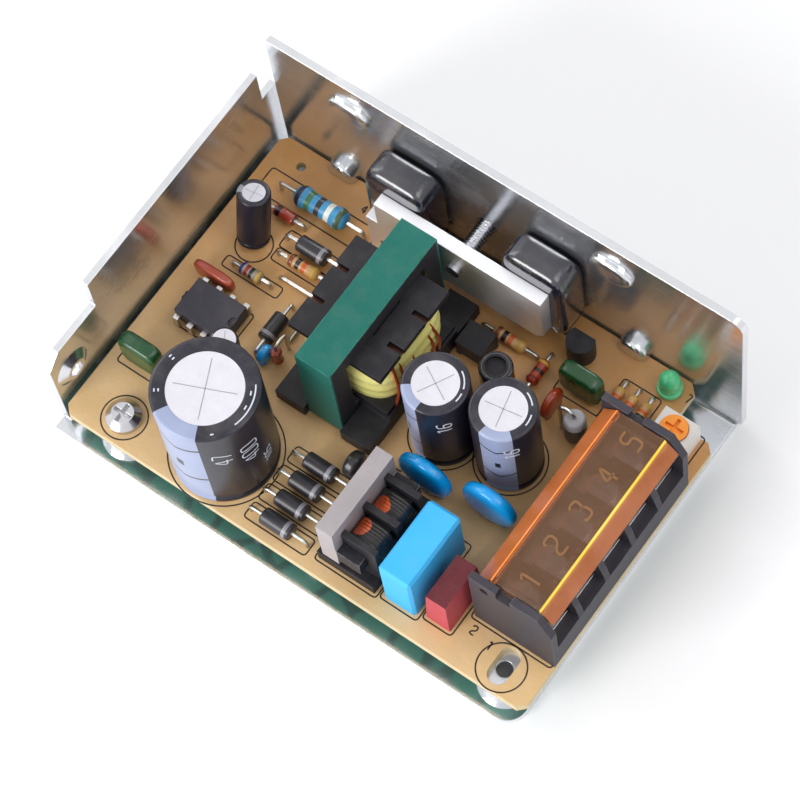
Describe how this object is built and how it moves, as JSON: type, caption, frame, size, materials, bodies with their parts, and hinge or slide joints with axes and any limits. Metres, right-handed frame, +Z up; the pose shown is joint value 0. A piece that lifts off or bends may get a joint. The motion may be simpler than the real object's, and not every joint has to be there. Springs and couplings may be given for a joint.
{
  "type": "open frame power supply",
  "caption": "Open frame power supply: a circuit board with capacitors, transformer and covered wire terminals on bosses in a folded sheet chassis with two walls.",
  "frame": {"origin": "middle of the chassis floor's underside", "axes": "+X along the board to the wire terminals, +Y to the back wall, +Z up from the floor"},
  "size_m": [0.085, 0.058, 0.036],
  "materials": {
    "bare_sheet": "bright rolled sheet with faint streaks",
    "board": "tan phenolic board, green mask underneath",
    "bright_steel": "bright plated metal",
    "black_rubber": "black sleeve rubber with a pale stripe",
    "black_moulding": "black moulding",
    "ferrite": "dark ferrite",
    "pale_ferrite": "pale grey lacquered ferrite",
    "green_tape": "green polyester tape",
    "yellow_tape": "yellow polyester tape",
    "copper_wire": "enamelled copper",
    "can_sleeve": "dark shrunk sleeve, pale stripe, bare aluminium top",
    "black_barrel": "black barrel, pale band",
    "tan_resistor": "tan lacquer with colour bands",
    "blue_resistor": "blue lacquer with colour bands",
    "red_glass": "red glass, pale band",
    "red_brown_dip": "red brown dip",
    "blue_dip": "blue dip",
    "green_dip": "dark green dip",
    "blue_case": "light blue moulded case",
    "red_case": "dark red case with a rough top",
    "green_lens": "green lamp resin",
    "white_moulding": "white moulding",
    "orange_moulding": "orange moulding",
    "grey_moulding": "dark grey moulding",
    "amber_cover": "clear amber moulding"
  },
  "bodies": {
    "base": {"chassis": "bare_sheet", "circuit_board": "board", "board_screw": "bright_steel", "clamp_screw": "bright_steel", "clamp_bar": "bright_steel", "terminal_plates": "bright_steel", "terminal_contacts": "bright_steel", "terminal_screws": "bright_steel", "transformer_pins": "bright_steel", "controller_chip_legs": "bright_steel", "jumper_wires": "bright_steel", "transistor_sleeve": "black_rubber", "rectifier_sleeve": "black_rubber", "power_transistor": "black_moulding", "power_rectifier": "black_moulding", "transformer_bobbin": "black_moulding", "choke_bobbin": "black_moulding", "controller_chip": "black_moulding", "optocoupler": "black_moulding", "reference_transistor": "black_moulding", "output_choke_sleeve": "black_moulding", "transformer_core_upper": "ferrite", "transformer_core_lower": "ferrite", "output_choke_core": "ferrite", "choke_core": "pale_ferrite", "transformer_tape": "green_tape", "transformer_winding": "yellow_tape", "choke_windings": "copper_wire", "output_choke_winding": "copper_wire", "bulk_capacitor": "can_sleeve", "output_capacitor_front": "can_sleeve", "output_capacitor_rear": "can_sleeve", "supply_capacitor": "can_sleeve", "small_capacitor": "can_sleeve", "bridge_diodes": "black_barrel", "snubber_diode": "black_barrel", "bobbin_diode": "black_barrel", "upright_diode": "black_barrel", "thermistor": "black_barrel", "sense_resistor": "tan_resistor", "startup_resistor": "tan_resistor", "bleed_resistor": "tan_resistor", "feedback_resistors": "tan_resistor", "snubber_resistor": "blue_resistor", "glass_diode": "red_glass", "damping_resistor": "red_brown_dip", "dipped_capacitor": "red_brown_dip", "ceramic_capacitor": "red_brown_dip", "upright_resistor": "red_brown_dip", "y_capacitors": "blue_dip", "small_disc_capacitor": "blue_dip", "film_capacitor_front": "green_dip", "film_capacitor_rear": "green_dip", "x_capacitor": "blue_case", "fuse": "red_case", "indicator_led": "green_lens", "trimmer_body": "white_moulding", "terminal_housing": "grey_moulding"},
    "cover": {"terminal_cover": "amber_cover"},
    "rotor": {"trimmer_rotor": "orange_moulding"}
  },
  "joints": [
    {"name": "cover_hinge", "type": "hinge", "parent": "base", "child": "cover", "pos_m": [0.0312, -0.0028, 0.0211], "axis": [0, -1, 0], "range_deg": [0, 100]},
    {"name": "trimmer_turn", "type": "hinge", "parent": "base", "child": "rotor", "pos_m": [0.03715, 0.0183, 0.0124], "axis": [0, 0, 1], "range_deg": [-130, 130]}
  ]
}
